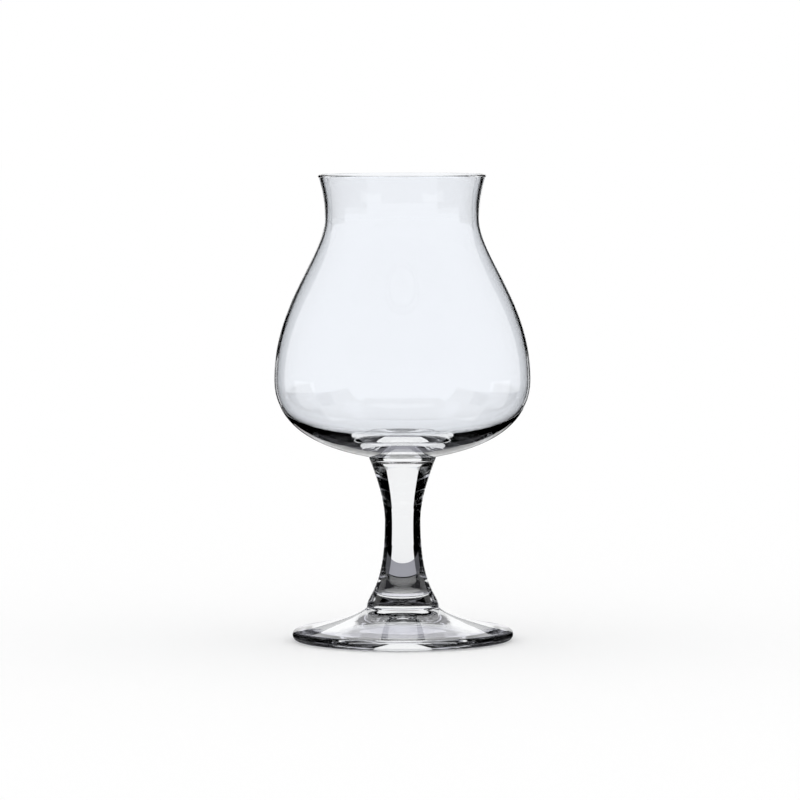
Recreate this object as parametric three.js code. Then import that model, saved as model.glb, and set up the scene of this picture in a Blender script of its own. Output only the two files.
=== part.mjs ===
// Stemmed tasting glass with a tulip bowl, in millimetres, +Z up, standing on the plane Z = 0.
// Three pieces of glass are hot-welded into one: a pressed foot, a pressed stem and a blown bowl.
// Each is a solid of revolution about Z, and they meet on flat round weld faces.

import * as THREE from "three";

// Foot: a pressed disc with a hollow underside that rests on a flat ring near its edge
const FOOT_DIAMETER = 71.2;
const FOOT_HEIGHT = 10.5;
const FOOT_EDGE_THICKNESS = 3.4;
const FOOT_EDGE_SLOPE = 10;
const FOOT_EDGE_REACH = 11;
const FOOT_BOSS_SLOPE = 45;
const FOOT_BOSS_REACH = 3.5;
const REST_RING_WIDTH = 5;
const CROWN_THICKNESS = 4.2;
const HOLLOW_TOP_REACH = 8;
const HOLLOW_RIM_SLOPE = 9;
const HOLLOW_RIM_REACH = 12;

// Stem: a solid hourglass that flares into the foot below and the bowl above
const STEM_LENGTH = 48.7;
const STEM_FOOT_DIAMETER = 23.3;
const STEM_FOOT_REACH = 4.5;
const WAIST_DIAMETER = 11.56;
const WAIST_RISE = 27.7;
const WAIST_LOWER_REACH = 22.4;
const WAIST_UPPER_REACH = 5.4;
const STEM_BOWL_DIAMETER = 21.8;
const STEM_BOWL_FLARE = 21.5;
const STEM_BOWL_REACH = 9.8;

// Bowl: a thin blown wall over a thicker base, drawn in at the throat and flared to a round lip
const BOWL_HEIGHT = 90.8;
const BASE_THICKNESS = 4;
const BASE_SLOPE = 15;
const BASE_REACH = 4.6;
const BELLY_DIAMETER = 82.6;
const BELLY_RISE = 24.9;
const BELLY_WALL = 1.05;
const BELLY_LOWER_REACH = 20.3;
const BELLY_UPPER_REACH = 24.7;
const THROAT_DIAMETER = 49.7;
const THROAT_DROP = 13.9;
const THROAT_WALL = 0.8;
const THROAT_LOWER_REACH = 12.2;
const THROAT_UPPER_REACH = 2.05;
const RIM_DIAMETER = 54.1;
const LIP_THICKNESS = 1.2;
const LIP_FLARE = 17.8;
const LIP_REACH = 7.9;
const INSIDE_BELLY_REACH = 16;
const INSIDE_FLOOR_REACH = 25.7;

// Facets: steps around the axis, along a long curve and round a narrow edge
const AROUND_STEPS = 60;
const CURVE_STEPS = 9;
const EDGE_STEPS = 5;

// Heights of the two welds and of the rim
const footWeld = FOOT_HEIGHT;
const bowlWeld = footWeld + STEM_LENGTH;
const rimHeight = bowlWeld + BOWL_HEIGHT;

// A profile lies in a half plane: x is the distance from the axis and y is the height.
const at = (radius, height) => new THREE.Vector2(radius, height);

// The point at a distance from another, at an angle in degrees up from straight outwards
function from(point, degrees, distance) {
  const angle = THREE.MathUtils.degToRad(degrees);
  return point.clone().add(at(Math.cos(angle), Math.sin(angle)).multiplyScalar(distance));
}

// A smooth curve that leaves each end at its own angle, held straight over its own reach
function sweep(start, startAngle, startReach, end, endAngle, endReach) {
  const leaving = from(start, startAngle, startReach);
  const arriving = from(end, endAngle, endReach);
  return new THREE.CubicBezierCurve(start, leaving, arriving, end).getPoints(CURVE_STEPS);
}

// A round edge about its centre, between two angles in degrees
function roundEdge(centre, radius, startAngle, endAngle) {
  const [start, end] = [startAngle, endAngle].map(THREE.MathUtils.degToRad);
  return new THREE.EllipseCurve(centre.x, centre.y, radius, radius, start, end).getPoints(EDGE_STEPS);
}

// A closed solid turned about Z from a profile that runs from the axis, up the outside, back to the axis
function revolve(name, profile, colour) {
  const outline = profile.filter((point, i) => i === 0 || point.distanceTo(profile[i - 1]) > 1e-6);
  const geometry = new THREE.LatheGeometry(outline, AROUND_STEPS).rotateX(Math.PI / 2);
  const material = new THREE.MeshStandardMaterial({
    color: colour,
    roughness: 0.03,
    metalness: 0,
    transparent: true,
    opacity: 0.35,
  });
  const mesh = new THREE.Mesh(geometry, material);
  mesh.name = name;
  return mesh;
}

function foot() {
  const edgeRadius = FOOT_EDGE_THICKNESS / 2;
  const edge = at(FOOT_DIAMETER / 2 - edgeRadius, edgeRadius);
  const edgeTop = from(edge, 90 - FOOT_EDGE_SLOPE, edgeRadius);
  const restInside = at(edge.x - REST_RING_WIDTH, 0);
  const hollowTop = at(0, FOOT_HEIGHT - CROWN_THICKNESS);
  const boss = at(STEM_FOOT_DIAMETER / 2, footWeld);
  return revolve(
    "foot",
    [
      ...sweep(hollowTop, 0, HOLLOW_TOP_REACH, restInside, 180 - HOLLOW_RIM_SLOPE, HOLLOW_RIM_REACH),
      ...roundEdge(edge, edgeRadius, -90, 90 - FOOT_EDGE_SLOPE),
      ...sweep(edgeTop, 180 - FOOT_EDGE_SLOPE, FOOT_EDGE_REACH, boss, -FOOT_BOSS_SLOPE, FOOT_BOSS_REACH),
      at(0, footWeld),
    ],
    0xe8edf4,
  );
}

function stem() {
  const lowerEnd = at(STEM_FOOT_DIAMETER / 2, footWeld);
  const waist = at(WAIST_DIAMETER / 2, footWeld + WAIST_RISE);
  const upperEnd = at(STEM_BOWL_DIAMETER / 2, bowlWeld);
  return revolve(
    "stem",
    [
      at(0, footWeld),
      ...sweep(lowerEnd, 90, STEM_FOOT_REACH, waist, -90, WAIST_LOWER_REACH),
      ...sweep(waist, 90, WAIST_UPPER_REACH, upperEnd, -90 - STEM_BOWL_FLARE, STEM_BOWL_REACH),
      at(0, bowlWeld),
    ],
    0xe6ebf3,
  );
}

function bowl() {
  const lipRadius = LIP_THICKNESS / 2;
  const seat = at(STEM_BOWL_DIAMETER / 2, bowlWeld);
  const belly = at(BELLY_DIAMETER / 2, bowlWeld + BELLY_RISE);
  const throat = at(THROAT_DIAMETER / 2, rimHeight - THROAT_DROP);
  const lip = at(RIM_DIAMETER / 2 - lipRadius, rimHeight - lipRadius);
  const lipOutside = from(lip, -LIP_FLARE, lipRadius);
  const lipInside = from(lip, 180 - LIP_FLARE, lipRadius);
  const throatInside = at(throat.x - THROAT_WALL, throat.y);
  const bellyInside = at(belly.x - BELLY_WALL, belly.y);
  const floor = at(0, bowlWeld + BASE_THICKNESS);
  const downLip = -90 - LIP_FLARE;
  return revolve(
    "bowl",
    [
      at(0, bowlWeld),
      ...sweep(seat, BASE_SLOPE, BASE_REACH, belly, -90, BELLY_LOWER_REACH),
      ...sweep(belly, 90, BELLY_UPPER_REACH, throat, -90, THROAT_LOWER_REACH),
      ...sweep(throat, 90, THROAT_UPPER_REACH, lipOutside, downLip, LIP_REACH),
      ...roundEdge(lip, lipRadius, -LIP_FLARE, 180 - LIP_FLARE),
      ...sweep(lipInside, downLip, LIP_REACH, throatInside, 90, THROAT_UPPER_REACH),
      ...sweep(throatInside, -90, THROAT_LOWER_REACH, bellyInside, 90, BELLY_UPPER_REACH),
      ...sweep(bellyInside, -90, INSIDE_BELLY_REACH, floor, 0, INSIDE_FLOOR_REACH),
    ],
    0xeaf0f8,
  );
}

const tastingGlass = new THREE.Group();
tastingGlass.name = "tasting_glass";
tastingGlass.add(foot(), stem(), bowl());

export default tastingGlass;
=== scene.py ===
"""The looks of a stemmed tasting glass: its bowl, stem and foot, and a plain pale studio round them.

The file is laid out as an add-on and is run as a script. Each piece of glass is an outline turned about
the glass's own axis, which is Z.
"""

import math

import bmesh
import bpy
from bpy.props import FloatProperty, FloatVectorProperty, IntProperty, PointerProperty
from bpy.types import Operator, Panel, PropertyGroup
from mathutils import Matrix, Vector


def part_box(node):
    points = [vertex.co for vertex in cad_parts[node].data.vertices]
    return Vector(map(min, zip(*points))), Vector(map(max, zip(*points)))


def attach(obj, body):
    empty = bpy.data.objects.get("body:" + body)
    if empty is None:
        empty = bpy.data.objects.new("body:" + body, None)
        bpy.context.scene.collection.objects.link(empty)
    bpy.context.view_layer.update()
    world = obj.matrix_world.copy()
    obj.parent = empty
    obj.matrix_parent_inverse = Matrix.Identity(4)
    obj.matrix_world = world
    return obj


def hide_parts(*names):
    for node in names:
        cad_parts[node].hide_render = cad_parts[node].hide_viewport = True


bl_info = {
    "name": "Tasting Glass",
    "version": (1, 0, 0),
    "blender": (4, 5, 0),
    "location": "View3D > Sidebar > Tasting Glass",
    "description": "Turns the bowl, stem and foot of a tasting glass and sets a plain pale studio",
    "category": "Object",
}

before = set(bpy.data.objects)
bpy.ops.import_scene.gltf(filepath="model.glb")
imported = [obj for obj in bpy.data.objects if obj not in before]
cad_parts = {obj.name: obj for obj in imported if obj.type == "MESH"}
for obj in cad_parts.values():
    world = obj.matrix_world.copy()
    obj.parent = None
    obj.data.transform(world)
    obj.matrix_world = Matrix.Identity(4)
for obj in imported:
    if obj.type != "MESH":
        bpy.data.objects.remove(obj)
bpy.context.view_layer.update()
FOOT_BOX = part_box("foot")
STEM_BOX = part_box("stem")
BOWL_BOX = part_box("bowl")
NO_WELD = -1.0
SAME_PLACE = 1e-6
HOOP_RADIUS = 0.02
STEPS_AROUND = 240

# Glass: the range of noise over which the polish changes, and the fineness of each noise
POLISH_RANGE = (0.4, 0.75)
POLISH_DETAIL = 3.0
WAVE_DETAIL = 1.0

# Dark cards: MANY is more walls than any ray crosses, and COOLNESS is a grey's blue over its red
BLACK = (0.0, 0.0, 0.0)
COOLNESS = 1.1
HALF = 0.5
MANY = 99
SIDES = ((1, "right"), (-1, "left"))
ARC_STEPS = 32
SECTOR_STEPS = 24
FLOOR_STEPS = 96
LEAST_COSINE = 0.1

# Heights of the floor, the foot of the sill and the low cards, and a gap between upright cards: no two
# of these surfaces coincide
FLOOR_LEVEL = -0.0003
SILL_LEVEL = -0.00025
DEEP_LEVEL = -0.0002
UNDER_LEVEL = -0.0001
TABLE_LEVEL = 0.0001
CARD_GAP = 0.002

# Angles of the cards in degrees from straight behind the glass
HALF_TURN = 180
FULL_TURN = 360
BACK_FAR_SPAN = (27, 70)
FRONT_FAR_SPAN = (110, 160)
FENCE_SPAN = (60, 300)
SILL_SPAN = (35, 325)
HOOD_SPAN = (90, 270)
AWNING_SPAN = (100, 260)
APRON_SPAN = (40, 320)
PALE_TURN = 24
DARK_TURN = 41
FRONT_TURN = 100
SPOKE_TURN = 128
SPOKE_END_TURN = 142

# Distances behind the axis where the painted shade under the foot changes
RING_PLACES = (-0.005, 0.02)
HOLLOW_PLACES = (-0.022, -0.01, 0.004, 0.02)

# Camera and render
SENSOR_WIDTH = 36.0
VIEW_REACH = 100.0
GLASS_BOUNCES = 40
OTHER_BOUNCES = 16


# Settings


def length(name, description, default):
    """A size in metres."""
    return FloatProperty(name=name, description=description, default=default, unit="LENGTH", precision=5)


def slope(name, description, degrees):
    """An angle that is given in degrees and kept in radians."""
    default = math.radians(degrees)
    return FloatProperty(name=name, description=description, default=default, subtype="ANGLE")


def share(name, description, default):
    """A part of one."""
    return FloatProperty(name=name, description=description, default=default, min=0.0, max=1.0)


def colour(name, description, default):
    """A colour in linear light."""
    return FloatVectorProperty(
        name=name, description=description, default=default, size=3, subtype="COLOR", min=0.0, max=1.0
    )


class FootShape(PropertyGroup):
    """Sizes of the pressed foot."""

    radius: length("Radius", "From the axis to the outer edge", FOOT_BOX[1].x)
    height: length("Height", "From the table to the weld with the stem", FOOT_BOX[1].z)
    edge_thickness: length("Edge thickness", "Height of the rounded outer edge", 0.0034)
    edge_slope: slope("Edge slope", "Slope of the top where it meets the edge", 10.0)
    edge_reach: length("Edge reach", "How far the top keeps the edge's slope", 0.011)
    boss_slope: slope("Boss slope", "Slope of the top where it meets the stem", 45.0)
    boss_reach: length("Boss reach", "How far the top keeps the boss's slope", 0.0035)
    rest_width: length("Rest width", "Width of the flat ring that the glass stands on", 0.005)
    crown: length("Crown", "Glass between the hollow underside and the weld", 0.0042)
    hollow_top_reach: length("Hollow top reach", "How far the hollow stays level at its middle", 0.008)
    hollow_rim_slope: slope("Hollow rim slope", "Slope of the hollow at the resting ring", 9.0)
    hollow_rim_reach: length("Hollow rim reach", "How far the hollow keeps that slope", 0.012)


class StemShape(PropertyGroup):
    """Sizes of the pressed stem."""

    foot_radius: length("Foot radius", "Radius of the weld with the foot", STEM_BOX[1].x)
    foot_reach: length("Foot reach", "How far the lower end stays upright", 0.0045)
    bottom: length("Bottom", "Height of the weld with the foot", STEM_BOX[0].z)
    top: length("Top", "Height of the weld with the bowl", STEM_BOX[1].z)
    waist_radius: length("Waist radius", "Radius of the narrowest place", 0.00578)
    waist_rise: length("Waist rise", "Height of the waist above the foot", 0.0277)
    waist_lower_reach: length("Waist lower reach", "How far the waist runs on below", 0.0224)
    waist_upper_reach: length("Waist upper reach", "How far the waist runs on above", 0.0054)
    bowl_radius: length("Bowl radius", "Radius of the weld with the bowl", 0.0109)
    bowl_flare: slope("Bowl flare", "Lean of the upper end, from upright", 21.5)
    bowl_reach: length("Bowl reach", "How far the upper end keeps its lean", 0.0098)


class BowlShape(PropertyGroup):
    """Sizes of the blown bowl."""

    bottom: length("Bottom", "Height of the weld with the stem", BOWL_BOX[0].z)
    top: length("Top", "Height of the rim", BOWL_BOX[1].z)
    base_thickness: length("Base thickness", "Glass under the middle of the floor", 0.004)
    base_slope: slope("Base slope", "Slope of the underside where it meets the stem", 15.0)
    base_reach: length("Base reach", "How far the underside keeps that slope", 0.0046)
    belly_radius: length("Belly radius", "Radius of the widest place", BOWL_BOX[1].x)
    belly_rise: length("Belly rise", "Height of the widest place above the stem", 0.0249)
    belly_wall: length("Belly wall", "Wall at the widest place", 0.00105)
    belly_lower_reach: length("Belly lower reach", "How far the belly runs on below", 0.0203)
    belly_upper_reach: length("Belly upper reach", "How far the belly runs on above", 0.0247)
    throat_radius: length("Throat radius", "Radius of the narrowest place under the lip", 0.02485)
    throat_drop: length("Throat drop", "Depth of the throat under the rim", 0.0139)
    throat_wall: length("Throat wall", "Wall at the throat", 0.0008)
    throat_lower_reach: length("Throat lower reach", "How far the throat runs on below", 0.0122)
    throat_upper_reach: length("Throat upper reach", "How far the throat runs on above", 0.00205)
    rim_radius: length("Rim radius", "Radius of the lip", 0.02705)
    lip_thickness: length("Lip thickness", "Thickness of the fire-polished lip", 0.0012)
    lip_flare: slope("Lip flare", "Lean of the lip, from upright", 17.8)
    lip_reach: length("Lip reach", "How far the wall keeps the lip's lean", 0.0079)
    inside_belly_reach: length("Inside belly reach", "How far the inside runs on below the belly", 0.016)
    inside_floor_reach: length("Inside floor reach", "How far the floor stays level", 0.0257)


class GlassFinish(PropertyGroup):
    """Look of the glass and fineness of its surfaces."""

    # Besides the glass's own faint tint, the bowl's tint paints in the dimmer, bluer light seen through the
    # bowl
    bowl_tint_and_painted_shade: colour("Bowl tint", "What two faces of the bowl's wall let through", (0.956, 0.972, 0.998))
    stem_tint: colour("Stem tint", "What two faces of the stem let through", (0.97, 0.98, 0.99))
    foot_tint: colour("Foot tint", "What two faces of the foot let through", (0.97, 0.98, 0.99))
    bend: FloatProperty(name="Bend", description="Index of refraction", default=1.52, min=1.0, max=2.0)
    dullest: FloatProperty(name="Dullest", description="Roughness where polish is poorest", default=0.012)
    polish_patch: length("Polish patch", "Size of the patches of better and poorer polish", 0.02)
    blown_wave: length("Blown wave", "Size of the faint waves in the blown wall", 0.016)
    pressed_wave: length("Pressed wave", "Size of the faint waves in pressed glass", 0.007)
    wave_height: length("Wave height", "Height of the faint waves", 0.00003)
    seam_turn: slope("Seam turn", "Turn of the two mould seams of the stem from straight ahead", 24.0)
    seam_width: length("Seam width", "Half the width of a mould seam", 0.0004)
    seam_height: length("Seam height", "Height of a mould seam", 0.00002)
    steps_around: IntProperty(name="Steps around", description="Faces round the axis", default=STEPS_AROUND)
    steps_along: IntProperty(name="Steps along", description="Faces along each stretch", default=26)


class Studio(PropertyGroup):
    """Camera, floor, light and dark cards."""

    camera_distance: length("Camera distance", "From the axis to the camera", 1.6774)
    camera_height: length("Camera height", "Height of the camera above the table", 0.1847)
    camera_aside: length("Camera aside", "How far the camera stands to the side", -0.00077)
    aim_height: length("Aim height", "Height of the point that the camera looks at", 0.0774)
    camera_roll: slope("Camera roll", "Turn of the camera about its line of sight", -0.12)
    camera_lens: FloatProperty(name="Lens", description="Focal length", default=235.0, unit="CAMERA")
    floor_radius: length("Floor radius", "Radius of the floor", 8.0)
    floor_colour: colour("Floor colour", "Colour of the floor", (1.0, 1.0, 1.0))
    light_colour: colour("Light colour", "Colour of the even light all round", (1.0, 1.0, 1.0))
    card_distance: length("Card distance", "From the axis to each side of the dark box", 0.15)
    card_height: length("Card height", "Height of the dark cards", 0.45)
    window_top: length("Window top", "Height of the bright window behind the glass", 0.19)
    upper_gap: length("Upper gap", "Half the gap between the cards behind the bowl", 0.066)
    lower_gap: length("Lower gap", "Half the gap between the cards behind the stem", 0.071)
    corner_gap: length("Corner gap", "From the middle of a side to where its corner starts", 0.085)
    side_gap: length("Side gap", "From a side's middle to where the lower cards for the bowl start", 0.05)
    stem_gap: length("Stem gap", "Half the width of the window beside the stem", 0.035)
    back_slot_bottom: length("Back slot bottom", "Bottom of the bright slot in the far corners", 0.045)
    back_slot_top: length("Back slot top", "Top of the bright slot in the far corners", 0.088)
    front_slot_bottom: length("Front slot bottom", "Bottom of the bright slot in the near corners", 0.085)
    front_slot_top: length("Front slot top", "Top of the bright slot in the near corners", 0.125)
    card_split: length("Card split", "Height between the lower and the upper cards", 0.055)
    bowl_back_bottom: length("Bowl back bottom", "Bottom of the cards for the bowl, behind", 0.1)
    bowl_side_bottom: length("Bowl side bottom", "Bottom of the cards for the bowl, beside", 0.155)
    bowl_front_bottom: length("Bowl front bottom", "Bottom of the cards for the bowl, in front", 0.3)
    shine_bottom: length("Shine bottom", "Bottom of the part of the window that reflections don't see", 0.03)
    shine_top: length("Shine top", "Top of the part of the window that reflections don't see", 0.055)
    back_far: length("Back far", "From the axis to the cards behind the far slots", 0.42)
    front_far: length("Front far", "From the axis to the cards behind the near slots", 0.85)
    fence_radius: length("Fence radius", "From the axis to the low card that the foot's edge reflects", 0.06)
    fence_height: length("Fence height", "Height of the low card that the foot's edge reflects", 0.03)
    table_start: length("Table start", "From the axis to where the table shows beside the foot", 0.0365)
    table_end: length("Table end", "From the axis to the straight far edge of the table", 0.085)
    # The pale back of the table is painted light that only the glass sees
    back_start: length("Back start", "From the axis to the start of the pale back of the table", 0.043)
    table_near: length("Table near", "From the axis to the end of the near part of the table", 0.06)
    ring_start: length("Ring start", "From the axis to the ring under the foot", 0.029)
    lid_height: length("Lid height", "Height of the dark card over the pale middle", 0.0035)
    lid_radius: length("Lid radius", "Radius of the dark card over the pale middle", 0.014)
    lid_shade: share("Lid shade", "Shade of the dark card over the pale middle", 0.02)
    # Painted light on the table behind the foot, which only the glass sees
    table_back: share("Table back", "Shade of the table behind the foot", 0.36)
    # Painted shade on the table beside the pale back, which only the glass sees
    table_side: share("Table side", "Shade of the table beside that", 0.09)
    # Painted light on two spokes of the table, which only the glass sees
    table_spoke: share("Table spoke", "Shade of the two pale spokes towards the near corners", 0.6)
    # Painted shade under the foot's ring, which only the glass sees: darkest in front, palest behind
    ring_front_painted_shade: share("Ring front", "Shade under the near side of the foot's ring", 0.05)
    ring_back_painted_shade: share("Ring back", "Shade under the far side of the foot's ring", 0.75)
    # Painted shade under the foot's hollow, which only the glass sees
    hollow_front_painted_shade: share("Hollow front", "Shade under the near side of the foot's hollow", 0.45)
    hollow_side_painted_shade: share("Hollow side", "Shade under the left and right of the foot's hollow", 0.35)
    hollow_back_painted_shade: share("Hollow back", "Shade under the far side of the foot's hollow", 0.62)
    # Painted shade under the middle of the foot, which only the glass sees
    middle_painted_shade: share("Middle shade", "Shade under the middle of the foot", 0.70)
    side_window_top: length("Side window top", "Top of the bright window beside the stem", 0.08)
    awning_radius: length("Awning radius", "From the axis to the foot of the awning before the stem", 0.1)
    awning_height: length("Awning height", "Height of the awning before the stem", 0.0575)
    awning_start: length("Awning start", "From the axis to the top of the awning", 0.014)
    apron_start: length("Apron start", "From the axis to the inner edge of the card over the foot", 0.0125)
    apron_end: length("Apron end", "From the axis to the outer edge of the card over the foot", 0.036)
    apron_height: length("Apron height", "Height of the card over the foot", 0.0106)
    sill_radius: length("Sill radius", "From the axis to the low card close round the foot", 0.0375)
    sill_height: length("Sill height", "Height of the low card close round the foot", 0.005)
    hood_radius: length("Hood radius", "From the axis to the card for rays through the upper weld", 0.12)
    hood_bottom: length("Hood bottom", "Bottom of the card for rays through the upper weld", 0.12)


class TastingGlass(PropertyGroup):
    """All settings of the glass."""

    foot: PointerProperty(type=FootShape)
    stem: PointerProperty(type=StemShape)
    bowl: PointerProperty(type=BowlShape)
    finish: PointerProperty(type=GlassFinish)
    studio: PointerProperty(type=Studio)


# Outlines: each is a list of Bezier stretches of four points, x out from the axis and y up


def at(radius, height):
    """A point of an outline."""
    return Vector((radius, height))


def away(point, angle, distance):
    """The point at a distance from another, at an angle up from straight outwards."""
    return point + distance * Vector((math.cos(angle), math.sin(angle)))


def straight(start, end):
    """A straight stretch."""
    return [(start, start.lerp(end, 1 / 3), start.lerp(end, 2 / 3), end)]


def sweep(start, start_angle, start_reach, end, end_angle, end_reach):
    """A smooth stretch that leaves each end at its own angle and with its own reach."""
    return [(start, away(start, start_angle, start_reach), away(end, end_angle, end_reach), end)]


def round_edge(centre, radius, start_angle, end_angle):
    """Two stretches that follow a circle from one angle to another."""
    half = (end_angle - start_angle) / 2
    reach = 4 / 3 * math.tan(half / 4) * radius
    stretches = []
    for angle in (start_angle, start_angle + half):
        start = away(centre, angle, radius)
        end = away(centre, angle + half, radius)
        stretches += sweep(start, angle + math.pi / 2, reach, end, angle + half - math.pi / 2, reach)
    return stretches


UP = math.pi / 2
DOWN = -math.pi / 2
OUT = 0.0
IN = math.pi


def foot_outline(s):
    """From the middle of the hollow underside, round the edge and over the top to the weld."""
    edge_radius = s.edge_thickness / 2
    edge = at(s.radius - edge_radius, edge_radius)
    edge_bottom = at(edge.x, 0.0)
    edge_top = away(edge, UP - s.edge_slope, edge_radius)
    rest_inside = at(edge.x - s.rest_width, 0.0)
    rim_angle = IN - s.hollow_rim_slope
    hollow_top = at(0.0, s.height - s.crown)
    boss = at(STEM_BOX[1].x, s.height)
    return [
        *sweep(hollow_top, OUT, s.hollow_top_reach, rest_inside, rim_angle, s.hollow_rim_reach),
        *straight(rest_inside, edge_bottom),
        *round_edge(edge, edge_radius, DOWN, UP - s.edge_slope),
        *sweep(edge_top, IN - s.edge_slope, s.edge_reach, boss, -s.boss_slope, s.boss_reach),
        *straight(boss, at(0.0, s.height)),
    ]


def stem_outline(s):
    """From the weld with the foot, in to the waist and out again to the weld with the bowl."""
    lower = at(s.foot_radius, s.bottom)
    waist = at(s.waist_radius, s.bottom + s.waist_rise)
    upper = at(s.bowl_radius, s.top)
    return [
        *straight(at(0.0, s.bottom), lower),
        *sweep(lower, UP, s.foot_reach, waist, DOWN, s.waist_lower_reach),
        *sweep(waist, UP, s.waist_upper_reach, upper, DOWN - s.bowl_flare, s.bowl_reach),
        *straight(upper, at(0.0, s.top)),
    ]


def bowl_outline(s, seat_radius):
    """From the weld with the stem, up the outside, over the lip and down the inside to the floor."""
    lip_radius = s.lip_thickness / 2
    seat = at(seat_radius, s.bottom)
    belly = at(s.belly_radius, s.bottom + s.belly_rise)
    throat = at(s.throat_radius, s.top - s.throat_drop)
    lip = at(s.rim_radius - lip_radius, s.top - lip_radius)
    lip_outside = away(lip, -s.lip_flare, lip_radius)
    lip_inside = away(lip, IN - s.lip_flare, lip_radius)
    throat_inside = throat - Vector((s.throat_wall, 0.0))
    belly_inside = belly - Vector((s.belly_wall, 0.0))
    floor = at(0.0, s.bottom + s.base_thickness)
    down_lip = DOWN - s.lip_flare
    return [
        *straight(at(0.0, s.bottom), seat),
        *sweep(seat, s.base_slope, s.base_reach, belly, DOWN, s.belly_lower_reach),
        *sweep(belly, UP, s.belly_upper_reach, throat, DOWN, s.throat_lower_reach),
        *sweep(throat, UP, s.throat_upper_reach, lip_outside, down_lip, s.lip_reach),
        *round_edge(lip, lip_radius, -s.lip_flare, IN - s.lip_flare),
        *sweep(lip_inside, down_lip, s.lip_reach, throat_inside, UP, s.throat_upper_reach),
        *sweep(throat_inside, DOWN, s.throat_lower_reach, belly_inside, UP, s.belly_upper_reach),
        *sweep(belly_inside, DOWN, s.inside_belly_reach, floor, OUT, s.inside_floor_reach),
    ]


# Turning an outline about the axis


def outline_curve(name, stretches, steps):
    """A curve object that follows an outline, for the turning tree to read."""
    data = bpy.data.curves.new(name, "CURVE")
    data.dimensions = "3D"
    data.resolution_u = steps
    spline = data.splines.new("BEZIER")
    spline.bezier_points.add(len(stretches))
    for point in spline.bezier_points:
        point.handle_left_type = "FREE"
        point.handle_right_type = "FREE"
    for i, (start, leaving, arriving, end) in enumerate(stretches):
        here = spline.bezier_points[i]
        there = spline.bezier_points[i + 1]
        here.co = start.to_3d()
        here.handle_right = leaving.to_3d()
        there.co = end.to_3d()
        there.handle_left = arriving.to_3d()
    spline.bezier_points[0].handle_left = stretches[0][0].to_3d()
    spline.bezier_points[-1].handle_right = stretches[-1][3].to_3d()
    curve = bpy.data.objects.new(name, data)
    bpy.context.scene.collection.objects.link(curve)
    return curve


def add_input(tree, name, kind, default=None):
    """A named input of a node tree, and the identifier that a modifier sets it by."""
    socket = tree.interface.new_socket(name, in_out="INPUT", socket_type=kind)
    if default is not None:
        socket.default_value = default
    return socket.identifier


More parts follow.
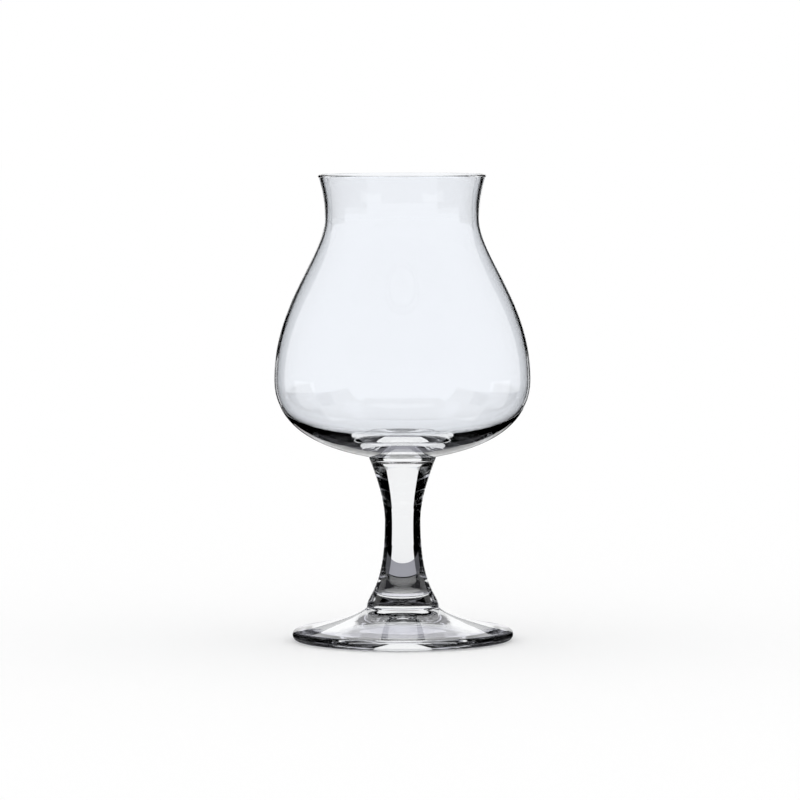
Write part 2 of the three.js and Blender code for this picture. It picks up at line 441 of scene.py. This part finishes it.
def turning_tree():
    """A tree that turns an outline about Z, and gives its flat weld faces a material of their own."""
    tree = bpy.data.node_groups.new("Turn an outline", "GeometryNodeTree")
    tree.interface.new_socket("Geometry", in_out="OUTPUT", socket_type="NodeSocketGeometry")
    inputs = {
        "outline": add_input(tree, "Outline", "NodeSocketObject"),
        "steps": add_input(tree, "Steps around", "NodeSocketInt", STEPS_AROUND),
        "hoop": add_input(tree, "Hoop radius", "NodeSocketFloat", HOOP_RADIUS),
        "lower": add_input(tree, "Lower weld", "NodeSocketFloat", NO_WELD),
        "upper": add_input(tree, "Upper weld", "NodeSocketFloat", NO_WELD),
        "glass": add_input(tree, "Glass", "NodeSocketMaterial"),
        "weld": add_input(tree, "Weld", "NodeSocketMaterial"),
    }
    nodes = tree.nodes
    link = tree.links.new
    given = nodes.new("NodeGroupInput").outputs
    outline = nodes.new("GeometryNodeObjectInfo")
    hoop = nodes.new("GeometryNodeCurvePrimitiveCircle")
    aside = nodes.new("ShaderNodeMath")
    aside.operation = "MULTIPLY"
    aside.inputs[1].default_value = -1.0
    shift = nodes.new("ShaderNodeCombineXYZ")
    moved = nodes.new("GeometryNodeTransform")
    moved.inputs["Scale"].default_value = (1.0, -1.0, 1.0)
    turned = nodes.new("GeometryNodeCurveToMesh")
    closed = nodes.new("GeometryNodeMergeByDistance")
    closed.inputs["Distance"].default_value = SAME_PLACE
    link(given["Outline"], outline.inputs["Object"])
    link(given["Steps around"], hoop.inputs["Resolution"])
    link(given["Hoop radius"], hoop.inputs["Radius"])
    link(given["Hoop radius"], aside.inputs[0])
    link(aside.outputs[0], shift.inputs["X"])
    link(outline.outputs["Geometry"], moved.inputs["Geometry"])
    link(shift.outputs["Vector"], moved.inputs["Translation"])
    link(hoop.outputs["Curve"], turned.inputs["Curve"])
    link(moved.outputs["Geometry"], turned.inputs["Profile Curve"])
    link(turned.outputs["Mesh"], closed.inputs["Geometry"])

    place = nodes.new("GeometryNodeInputPosition")
    parts = nodes.new("ShaderNodeSeparateXYZ")
    link(place.outputs["Position"], parts.inputs["Vector"])
    welds = []
    for name in ("Lower weld", "Upper weld"):
        level = nodes.new("FunctionNodeCompare")
        level.data_type = "FLOAT"
        level.operation = "EQUAL"
        level.inputs["Epsilon"].default_value = SAME_PLACE
        link(parts.outputs["Z"], level.inputs["A"])
        link(given[name], level.inputs["B"])
        welds.append(level.outputs["Result"])
    on_weld = nodes.new("FunctionNodeBooleanMath")
    on_weld.operation = "OR"
    link(welds[0], on_weld.inputs[0])
    link(welds[1], on_weld.inputs[1])
    off_weld = nodes.new("FunctionNodeBooleanMath")
    off_weld.operation = "NOT"
    link(on_weld.outputs[0], off_weld.inputs[0])

    smooth = nodes.new("GeometryNodeSetShadeSmooth")
    link(closed.outputs["Geometry"], smooth.inputs["Geometry"])
    link(off_weld.outputs[0], smooth.inputs["Shade Smooth"])
    real = nodes.new("GeometryNodeRealizeInstances")
    link(smooth.outputs["Geometry"], real.inputs["Geometry"])
    all_glass = nodes.new("GeometryNodeSetMaterial")
    link(real.outputs["Geometry"], all_glass.inputs["Geometry"])
    link(given["Glass"], all_glass.inputs["Material"])
    weld_faces = nodes.new("GeometryNodeSetMaterial")
    link(all_glass.outputs["Geometry"], weld_faces.inputs["Geometry"])
    link(on_weld.outputs[0], weld_faces.inputs["Selection"])
    link(given["Weld"], weld_faces.inputs["Material"])
    link(weld_faces.outputs["Geometry"], nodes.new("NodeGroupOutput").inputs["Geometry"])
    return tree, inputs


def face_out(name, mesh):
    """Turns the faces of a closed mesh outwards, and raises an error if the mesh isn't closed."""
    work = bmesh.new()
    work.from_mesh(mesh)
    if any(len(edge.link_faces) != 2 for edge in work.edges):
        raise RuntimeError(f"{name} isn't closed")
    if work.calc_volume(signed=True) < 0:
        bmesh.ops.reverse_faces(work, faces=work.faces)
    work.to_mesh(mesh)
    work.free()


def turn(name, node, stretches, welds, glass):
    """Makes one piece of glass from its outline, and lets it stand for its CAD node."""
    finish = bpy.context.scene.tasting_glass.finish
    curve = outline_curve(f"{name}_outline", stretches, finish.steps_along)
    holder = bpy.data.objects.new(f"{name}_turned", bpy.data.meshes.new(f"{name}_turned"))
    bpy.context.scene.collection.objects.link(holder)
    tree, inputs = turning_tree()
    modifier = holder.modifiers.new("Turn", "NODES")
    modifier.node_group = tree
    modifier[inputs["outline"]] = curve
    modifier[inputs["steps"]] = finish.steps_around
    modifier[inputs["lower"]] = welds[0]
    modifier[inputs["upper"]] = welds[1]
    modifier[inputs["glass"]] = glass
    modifier[inputs["weld"]] = weld_material()
    bpy.context.view_layer.update()
    graph = bpy.context.evaluated_depsgraph_get()
    mesh = bpy.data.meshes.new_from_object(holder.evaluated_get(graph), depsgraph=graph)
    for spare in (holder, curve):
        bpy.data.objects.remove(spare)
    bpy.data.node_groups.remove(tree)
    mesh.name = name
    face_out(name, mesh)
    piece = bpy.data.objects.new(name, mesh)
    bpy.context.scene.collection.objects.link(piece)
    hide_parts(node)
    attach(piece, "root")


# Materials


def new_material(name):
    """An empty node material, its node list and the function that links its sockets."""
    material = bpy.data.materials.new(name)
    material.use_nodes = True
    material.node_tree.nodes.clear()
    return material, material.node_tree.nodes, material.node_tree.links.new


def weld_material():
    """Glass runs on through a hot weld, so its faces show nothing."""
    found = bpy.data.materials.get("hot weld")
    if found:
        return found
    material, nodes, link = new_material("hot weld")
    clear = nodes.new("ShaderNodeBsdfTransparent")
    link(clear.outputs[0], nodes.new("ShaderNodeOutputMaterial").inputs["Surface"])
    return material


def clear_glass(name, tint, wave_size, finish):
    """Clear glass with faint waves in its surface and a polish that isn't quite even."""
    material, nodes, link = new_material(name)
    glass = nodes.new("ShaderNodeBsdfPrincipled")
    glass.inputs["Base Color"].default_value = (*tint, 1.0)
    glass.inputs["IOR"].default_value = finish.bend
    glass.inputs["Transmission Weight"].default_value = 1.0
    link(glass.outputs[0], nodes.new("ShaderNodeOutputMaterial").inputs["Surface"])
    place = nodes.new("ShaderNodeTexCoord")

    patches = nodes.new("ShaderNodeTexNoise")
    patches.inputs["Scale"].default_value = 1 / finish.polish_patch
    patches.inputs["Detail"].default_value = POLISH_DETAIL
    link(place.outputs["Object"], patches.inputs["Vector"])
    polish = nodes.new("ShaderNodeMapRange")
    polish.inputs["From Min"].default_value = POLISH_RANGE[0]
    polish.inputs["From Max"].default_value = POLISH_RANGE[1]
    polish.inputs["To Max"].default_value = finish.dullest
    link(patches.outputs["Fac"], polish.inputs["Value"])
    link(polish.outputs["Result"], glass.inputs["Roughness"])

    waves = nodes.new("ShaderNodeTexNoise")
    waves.inputs["Scale"].default_value = 1 / wave_size
    waves.inputs["Detail"].default_value = WAVE_DETAIL
    link(place.outputs["Object"], waves.inputs["Vector"])
    uneven = nodes.new("ShaderNodeBump")
    uneven.name = "Waves"
    uneven.inputs["Distance"].default_value = finish.wave_height
    link(waves.outputs["Fac"], uneven.inputs["Height"])
    link(uneven.outputs["Normal"], glass.inputs["Normal"])
    return material


def add_seams(material, finish):
    """Adds the two faint upright seams that the halves of a mould leave."""
    nodes = material.node_tree.nodes
    link = material.node_tree.links.new
    place = nodes.new("ShaderNodeTexCoord")
    turned = nodes.new("ShaderNodeMapping")
    turned.vector_type = "TEXTURE"
    turned.inputs["Rotation"].default_value = (0.0, 0.0, finish.seam_turn)
    parts = nodes.new("ShaderNodeSeparateXYZ")
    aside = nodes.new("ShaderNodeMath")
    aside.operation = "ABSOLUTE"
    ridge = nodes.new("ShaderNodeMapRange")
    ridge.interpolation_type = "SMOOTHSTEP"
    ridge.inputs["From Max"].default_value = finish.seam_width
    ridge.inputs["To Min"].default_value = 1.0
    ridge.inputs["To Max"].default_value = 0.0
    seam = nodes.new("ShaderNodeBump")
    seam.inputs["Distance"].default_value = finish.seam_height
    link(place.outputs["Object"], turned.inputs["Vector"])
    link(turned.outputs["Vector"], parts.inputs["Vector"])
    link(parts.outputs["X"], aside.inputs[0])
    link(aside.outputs[0], ridge.inputs["Value"])
    link(ridge.outputs["Result"], seam.inputs["Height"])
    link(seam.outputs["Normal"], nodes["Waves"].inputs["Normal"])


def plain_paint(name, tint):
    """A plain matt colour for the stage."""
    material, nodes, link = new_material(name)
    paint = nodes.new("ShaderNodeBsdfDiffuse")
    paint.inputs["Color"].default_value = (*tint, 1.0)
    link(paint.outputs[0], nodes.new("ShaderNodeOutputMaterial").inputs["Surface"])
    return material


# Dark cards: they stand for the dark studio round the glass, and only the glass sees them; the grey cards
# round and under the foot are painted light and shade


def grey(shade):
    """A faintly cool grey."""
    return (shade, shade, COOLNESS * shade)


def dark_card(name, shade, least_walls, most_walls):
    """A card material; rays that have crossed fewer or more walls than these pass through it."""
    material, nodes, link = new_material(name)
    dark = nodes.new("ShaderNodeEmission")
    dark.name = "Shade"
    dark.inputs["Color"].default_value = (*shade, 1.0)
    output = nodes.new("ShaderNodeOutputMaterial")
    path = nodes.new("ShaderNodeLightPath")
    within = nodes.new("ShaderNodeMath")
    within.operation = "COMPARE"
    within.inputs[1].default_value = (least_walls + most_walls) / 2
    within.inputs[2].default_value = (most_walls - least_walls) / 2 + HALF
    link(path.outputs["Transmission Depth"], within.inputs[0])
    seen = nodes.new("ShaderNodeMath")
    seen.name = "Seen"
    seen.operation = "SUBTRACT"
    seen.use_clamp = True
    link(within.outputs[0], seen.inputs[0])
    link(path.outputs["Diffuse Depth"], seen.inputs[1])
    clear = nodes.new("ShaderNodeBsdfTransparent")
    mix = nodes.new("ShaderNodeMixShader")
    mix.name = "Clear or dark"
    link(seen.outputs[0], mix.inputs["Fac"])
    link(clear.outputs[0], mix.inputs[1])
    link(dark.outputs[0], mix.inputs[2])
    link(mix.outputs[0], output.inputs["Surface"])
    return material


def seen_only(material, share_seen):
    """Lets a card be seen only as far as a socket of its own material says."""
    nodes = material.node_tree.nodes
    link = material.node_tree.links.new
    both = nodes.new("ShaderNodeMath")
    both.operation = "MULTIPLY"
    link(nodes["Seen"].outputs[0], both.inputs[0])
    link(share_seen, both.inputs[1])
    link(both.outputs[0], nodes["Clear or dark"].inputs["Fac"])
    return material


def one_sided(material):
    """Lets a card be seen from the back of its faces only."""
    side = material.node_tree.nodes.new("ShaderNodeNewGeometry")
    return seen_only(material, side.outputs["Backfacing"])


def past_a_weld(material):
    """Lets a card be seen only by rays that have crossed the clear faces of a weld."""
    nodes = material.node_tree.nodes
    path = nodes.new("ShaderNodeLightPath")
    crossed = nodes.new("ShaderNodeMath")
    crossed.operation = "GREATER_THAN"
    crossed.inputs[1].default_value = HALF
    material.node_tree.links.new(path.outputs["Transparent Depth"], crossed.inputs[0])
    return seen_only(material, crossed.outputs[0])


def shade_along(material, places, shades):
    """Changes a card's shade softly between places, which are distances behind the axis."""
    nodes = material.node_tree.nodes
    link = material.node_tree.links.new
    place = nodes.new("ShaderNodeTexCoord")
    parts = nodes.new("ShaderNodeSeparateXYZ")
    link(place.outputs["Object"], parts.inputs[0])
    first = places[0]
    last = places[-1]
    along = nodes.new("ShaderNodeMapRange")
    along.inputs["From Min"].default_value = first
    along.inputs["From Max"].default_value = last
    link(parts.outputs["Y"], along.inputs["Value"])
    ramp = nodes.new("ShaderNodeValToRGB")
    ramp.color_ramp.interpolation = "EASE"
    stops = ramp.color_ramp.elements
    while len(stops) < len(places):
        stops.new(HALF)
    for stop, place_behind, shade in zip(stops, places, shades):
        stop.position = (place_behind - first) / (last - first)
        stop.color = (*grey(shade), 1.0)
    link(along.outputs["Result"], ramp.inputs["Fac"])
    link(ramp.outputs["Color"], nodes["Shade"].inputs["Color"])
    return material


def add_stage_mesh(name, corners, faces, material):
    """A mesh that belongs to the stage."""
    mesh = bpy.data.meshes.new(name)
    mesh.from_pydata(corners, [], faces)
    mesh.materials.append(material)
    thing = bpy.data.objects.new(name, mesh)
    bpy.context.scene.collection.objects.link(thing)
    return thing


def hide_card(card):
    """Hides a card from the camera and from matt surfaces, and keeps it from shading the floor."""
    card.visible_camera = False
    card.visible_diffuse = False
    card.visible_shadow = False


def at_height(path, height):
    """The points of a path on the floor, raised to a height."""
    return [(x, y, height) for x, y in path]


def one_face(points):
    """The one face that takes in all of the points."""
    return [tuple(range(len(points)))]


def add_strip(name, lower, upper, material):
    """A card between two rows of points, which only the glass sees."""
    count = len(lower)
    faces = [(i, i + 1, i + 1 + count, i + count) for i in range(count - 1)]
    hide_card(add_stage_mesh(name, [*lower, *upper], faces, material))


def add_card(name, path, bottom, top, material):
    """An upright card over a path on the floor, which only the glass sees."""
    add_strip(name, at_height(path, bottom), at_height(path, top), material)


def add_flat_card(name, points, height, material):
    """A level card that only the glass sees."""
    hide_card(add_stage_mesh(name, at_height(points, height), one_face(points), material))


def turns_between(start, end, steps):
    """Angles in radians in even steps from one angle in degrees to another."""
    return [math.radians(start + (end - start) * i / steps) for i in range(steps + 1)]


def arc(radius, span):
    """Points on a circle about the axis between two angles from straight behind."""
    return [(radius * math.sin(a), radius * math.cos(a)) for a in turns_between(*span, ARC_STEPS)]


def add_sectors(name, span, near, far, height, material):
    """A level card on the right and one on the left, between two angles from straight behind and two
    edges, which are distances from the axis and may change with the angle."""
    turns = turns_between(*span, SECTOR_STEPS)
    outline = [(near(a) if callable(near) else near, a) for a in turns]
    outline += [(far(a) if callable(far) else far, a) for a in reversed(turns)]
    for side, word in SIDES:
        points = [(side * radius * math.sin(a), radius * math.cos(a)) for radius, a in outline]
        add_flat_card(f"{name}_{word}", points, height, material)


# Stage


def make_floor(s):
    """A round pale floor."""
    turns = turns_between(0, FULL_TURN, FLOOR_STEPS)[:-1]
    corners = [(s.floor_radius * math.cos(a), s.floor_radius * math.sin(a), FLOOR_LEVEL) for a in turns]
    add_stage_mesh("floor", corners, one_face(corners), plain_paint("pale floor", s.floor_colour))


def make_box(s):
    """A dark box with a bright window behind the glass, which draws the dark edges of the glass."""
    for_solid = dark_card("card for solid glass", BLACK, 0, 2)
    for_shine = dark_card("card for reflections", BLACK, 0, 0)
    for_inside = dark_card("card for rays in solid glass", BLACK, 1, 2)
    for_bowl = dark_card("card for rays through the bowl", BLACK, 3, MANY)
    for_through = dark_card("card for rays in glass", BLACK, 1, MANY)
    far = s.card_distance
    beyond = far + CARD_GAP
    before = far - CARD_GAP / 2
    top = s.card_height
    back_high = [(s.upper_gap, far), (s.corner_gap, far)]
    back_low = [(s.lower_gap, far), (s.corner_gap, far)]
    back_corner = [(s.corner_gap, far), (far, far), (far, s.corner_gap)]
    side_back = [(far, s.corner_gap), (far, s.stem_gap)]
    side_window = [(far, s.stem_gap), (far, -s.stem_gap)]
    side_front = [(far, -s.stem_gap), (far, -s.corner_gap)]
    front_corner = [(far, -s.corner_gap), (far, -far), (s.corner_gap, -far)]
    front = [(s.corner_gap, -far), (0.0, -far)]
    bowl_back = [(s.upper_gap, beyond), (beyond, beyond), (beyond, s.side_gap)]
    bowl_side = [(beyond, s.side_gap), (beyond, -s.corner_gap)]
    bowl_front = [(beyond, -s.corner_gap), (beyond, -beyond), (0.0, -beyond)]
    for part, points, bottom, end, card in (
        ("back_low", back_low, 0.0, s.card_split, for_solid),
        ("back_high", back_high, s.card_split, top, for_solid),
        ("back_corner_low", back_corner, 0.0, s.back_slot_bottom, for_solid),
        ("back_corner_slot", back_corner, s.back_slot_bottom, s.back_slot_top, for_shine),
        ("back_corner_high", back_corner, s.back_slot_top, top, for_solid),
        ("side_back_low", side_back, 0.0, s.card_split, for_solid),
        ("side_back_high", side_back, s.card_split, top, for_inside),
        ("side_shine", side_window, 0.0, s.card_split, for_shine),
        ("side_top", side_window, s.side_window_top, top, for_inside),
        ("side_front_low", side_front, 0.0, s.card_split, for_solid),
        ("side_front_high", side_front, s.card_split, top, for_inside),
        ("front_corner_low", front_corner, 0.0, s.front_slot_bottom, for_inside),
        ("front_corner_high", front_corner, s.front_slot_top, top, for_inside),
        ("front_all", front, 0.0, top, for_inside),
        ("back_far", arc(s.back_far, BACK_FAR_SPAN), 0.0, top, for_inside),
        ("front_far", arc(s.front_far, FRONT_FAR_SPAN), 0.0, top, for_inside),
        ("bowl_back", bowl_back, s.bowl_back_bottom, top, for_bowl),
        ("bowl_side", bowl_side, s.bowl_side_bottom, top, for_bowl),
        ("bowl_front", bowl_front, s.bowl_front_bottom, top, for_bowl),
    ):
        for side, word in SIDES:
            add_card(f"{part}_{word}", [(x * side, y) for x, y in points], bottom, end, card)
    add_card("back_top", [(-s.upper_gap, far), (s.upper_gap, far)], s.window_top, top, for_through)
    shine_path = [(-s.lower_gap, before), (s.lower_gap, before)]
    add_card("window_shine", shine_path, s.shine_bottom, s.shine_top, for_shine)
    add_flat_card("ceiling", [(far, far), (-far, far), (-far, -far), (far, -far)], top, for_bowl)


def make_screens(s):
    """Round cards about the glass, which darken the stem and the edge of the foot."""
    for_edge = dark_card("card for the foot's shine", BLACK, 0, 0)
    add_card("fence", arc(s.fence_radius, FENCE_SPAN), 0.0, s.fence_height, for_edge)
    for_rim = dark_card("card for rays in the foot's edge", BLACK, 1, 2)
    add_card("sill", arc(s.sill_radius, SILL_SPAN), SILL_LEVEL, s.sill_height, for_rim)
    for_weld = past_a_weld(dark_card("card for rays through the weld", BLACK, 3, MANY))
    add_card("hood", arc(s.hood_radius, HOOD_SPAN), s.hood_bottom, s.card_height, for_weld)
    for_stem = one_sided(dark_card("card for the stem's shine", BLACK, 0, 0))
    awning_top = at_height(arc(s.awning_start, AWNING_SPAN), s.awning_height)
    awning_foot = at_height(arc(s.awning_radius, AWNING_SPAN), 0.0)
    add_strip("awning", awning_top, awning_foot, for_stem)
    over_foot = one_sided(dark_card("card over the foot", BLACK, 1, 2))
    apron_outer = at_height(arc(s.apron_end, APRON_SPAN), s.apron_height)
    apron_inner = at_height(arc(s.apron_start, APRON_SPAN), s.apron_height)
    add_strip("apron", apron_outer, apron_inner, over_foot)


def make_table(s):
    """Painted shade on the table round the foot, with painted light behind it and on two spokes towards the
    near corners, as the glass sees it.
    """
    black = dark_card("table black", BLACK, 0, 2)
    inside = dark_card("table front", BLACK, 1, 2)
    # Painted light on two spokes of the table towards the near corners
    spoke = dark_card("painted light on a table spoke", grey(s.table_spoke), 1, 2)
    # Painted shade on the table beside the foot
    dark = dark_card("painted shade on the table side", grey(s.table_side), 0, 2)
    # Painted light on the table behind the foot
    pale = dark_card("painted light on the table back", grey(s.table_back), 0, 2)

    def far_edge(angle):
        """The table's straight far edge, or the side of the box where it has none."""
        return min(s.table_end / max(math.cos(angle), LEAST_COSINE), s.card_distance)

    def box_edge(angle):
        """The side of the box."""
        return s.card_distance / max(abs(math.cos(angle)), abs(math.sin(angle)))

    for name, start, end, near, far, card in (
        ("table_close", 0, PALE_TURN, s.table_start, s.back_start, black),
        ("table_back", 0, PALE_TURN, s.back_start, far_edge, pale),
        ("table_side", PALE_TURN, DARK_TURN, s.table_start, far_edge, dark),
        ("table_side_far", PALE_TURN, DARK_TURN, far_edge, box_edge, black),
        ("table_beside", DARK_TURN, FRONT_TURN, s.table_start, box_edge, black),
        ("table_near", FRONT_TURN, HALF_TURN, s.table_start, s.table_near, black),
        ("table_front_side", FRONT_TURN, SPOKE_TURN, s.table_near, box_edge, inside),
        ("table_spoke", SPOKE_TURN, SPOKE_END_TURN, s.table_near, box_edge, spoke),
        ("table_front", SPOKE_END_TURN, HALF_TURN, s.table_near, box_edge, inside),
    ):
        add_sectors(name, (start, end), near, far, TABLE_LEVEL, card)


def make_ground(s):
    """The painted shade under the foot, as the glass sees it."""
    # Painted shade under the foot, which only the glass sees
    ring = shade_along(dark_card("painted shade under the ring", BLACK, 0, 2), RING_PLACES, (s.ring_front_painted_shade, s.ring_back_painted_shade))
    hollow_shades = (s.hollow_front_painted_shade, s.hollow_side_painted_shade, s.hollow_side_painted_shade, s.hollow_back_painted_shade)
    # Painted shade under the foot's hollow, changing from front to back
    hollow = shade_along(dark_card("painted shade under the hollow", BLACK, 0, 2), HOLLOW_PLACES, hollow_shades)
    # Painted shade under the middle of the foot
    middle = dark_card("painted shade under the middle", grey(s.middle_painted_shade), 0, 2)
    deep = dark_card("deep black", BLACK, 3, MANY)
    lid = dark_card("lid", grey(s.lid_shade), 0, MANY)
    for name, near, far, height, card in (
        ("under_ring", s.ring_start, s.table_start, UNDER_LEVEL, ring),
        ("under_hollow", s.lid_radius, s.ring_start, UNDER_LEVEL, hollow),
        ("under_middle", 0.0, s.lid_radius, UNDER_LEVEL, middle),
        ("under_all", 0.0, s.table_start, DEEP_LEVEL, deep),
        ("under_lid", 0.0, s.lid_radius, s.lid_height, lid),
    ):
        add_sectors(name, (0, HALF_TURN), near, far, height, card)


def make_light(s):
    """Even white light from all round."""
    world = bpy.data.worlds.new("even studio light")
    world.use_nodes = True
    light = world.node_tree.nodes["Background"]
    light.inputs["Color"].default_value = (*s.light_colour, 1.0)
    light.inputs["Strength"].default_value = 1.0
    bpy.context.scene.world = world


def make_camera(s):
    """A long lens a little above the rim."""
    data = bpy.data.cameras.new("camera")
    data.lens = s.camera_lens
    data.sensor_width = SENSOR_WIDTH
    data.clip_end = VIEW_REACH
    camera = bpy.data.objects.new("camera", data)
    bpy.context.scene.collection.objects.link(camera)
    place = Vector((s.camera_aside, -s.camera_distance, s.camera_height))
    aim = Vector((s.camera_aside, 0.0, s.aim_height))
    camera.location = place
    camera.rotation_euler = (aim - place).to_track_quat("-Z", "Y").to_euler()
    camera.rotation_euler.rotate_axis("Z", s.camera_roll)
    bpy.context.scene.camera = camera


# Operators


class TASTING_OT_foot(Operator):
    """Makes the pressed foot"""

    bl_idname = "tasting_glass.foot"
    bl_label = "Make the Foot"

    def execute(self, context):
        s = context.scene.tasting_glass
        glass = clear_glass("pressed foot glass", s.finish.foot_tint, s.finish.pressed_wave, s.finish)
        turn("pressed_foot", "foot", foot_outline(s.foot), (NO_WELD, s.foot.height), glass)
        return {"FINISHED"}


class TASTING_OT_stem(Operator):
    """Makes the pressed stem"""

    bl_idname = "tasting_glass.stem"
    bl_label = "Make the Stem"

    def execute(self, context):
        s = context.scene.tasting_glass
        glass = clear_glass("pressed stem glass", s.finish.stem_tint, s.finish.pressed_wave, s.finish)
        add_seams(glass, s.finish)
        turn("pressed_stem", "stem", stem_outline(s.stem), (s.stem.bottom, s.stem.top), glass)
        return {"FINISHED"}


class TASTING_OT_bowl(Operator):
    """Makes the blown bowl"""

    bl_idname = "tasting_glass.bowl"
    bl_label = "Make the Bowl"

    def execute(self, context):
        s = context.scene.tasting_glass
        # The bowl's tint also paints in the dimmer, bluer light seen through it
        glass = clear_glass("blown bowl glass", s.finish.bowl_tint_and_painted_shade, s.finish.blown_wave, s.finish)
        outline = bowl_outline(s.bowl, s.stem.bowl_radius)
        turn("blown_bowl", "bowl", outline, (s.bowl.bottom, NO_WELD), glass)
        return {"FINISHED"}


class TASTING_OT_stage(Operator):
    """Sets the floor, the light, the dark cards and the camera"""

    bl_idname = "tasting_glass.stage"
    bl_label = "Set the Stage"

    def execute(self, context):
        s = context.scene.tasting_glass.studio
        make_floor(s)
        make_box(s)
        make_screens(s)
        make_table(s)
        make_ground(s)
        make_light(s)
        make_camera(s)
        return {"FINISHED"}


class TASTING_PT_panel(Panel):
    """Lists what makes the glass"""

    bl_idname = "TASTING_PT_panel"
    bl_label = "Tasting Glass"
    bl_space_type = "VIEW_3D"
    bl_region_type = "UI"
    bl_category = "Tasting Glass"

    def draw(self, context):
        for operator in OPERATORS:
            self.layout.operator(operator.bl_idname)


GROUPS = (FootShape, StemShape, BowlShape, GlassFinish, Studio, TastingGlass)
OPERATORS = (TASTING_OT_foot, TASTING_OT_stem, TASTING_OT_bowl, TASTING_OT_stage)
CLASSES = (*GROUPS, *OPERATORS, TASTING_PT_panel)


def register():
    """Adds the settings, the operators and the panel to Blender."""
    for added in CLASSES:
        bpy.utils.register_class(added)
    bpy.types.Scene.tasting_glass = PointerProperty(type=TastingGlass)


def unregister():
    """Takes them out again."""
    del bpy.types.Scene.tasting_glass
    for added in reversed(CLASSES):
        bpy.utils.unregister_class(added)


def set_render():
    """Plain colours, and enough bounces for light to cross every wall of the glass."""
    scene = bpy.context.scene
    scene.view_settings.view_transform = "Standard"
    scene.cycles.max_bounces = GLASS_BOUNCES
    scene.cycles.transmission_bounces = GLASS_BOUNCES
    scene.cycles.glossy_bounces = OTHER_BOUNCES
    scene.cycles.transparent_max_bounces = OTHER_BOUNCES


def main():
    """Makes the glass and its stage."""
    register()
    set_render()
    bpy.ops.tasting_glass.foot()
    bpy.ops.tasting_glass.stem()
    bpy.ops.tasting_glass.bowl()
    bpy.ops.tasting_glass.stage()


if __name__ == "__main__":
    main()
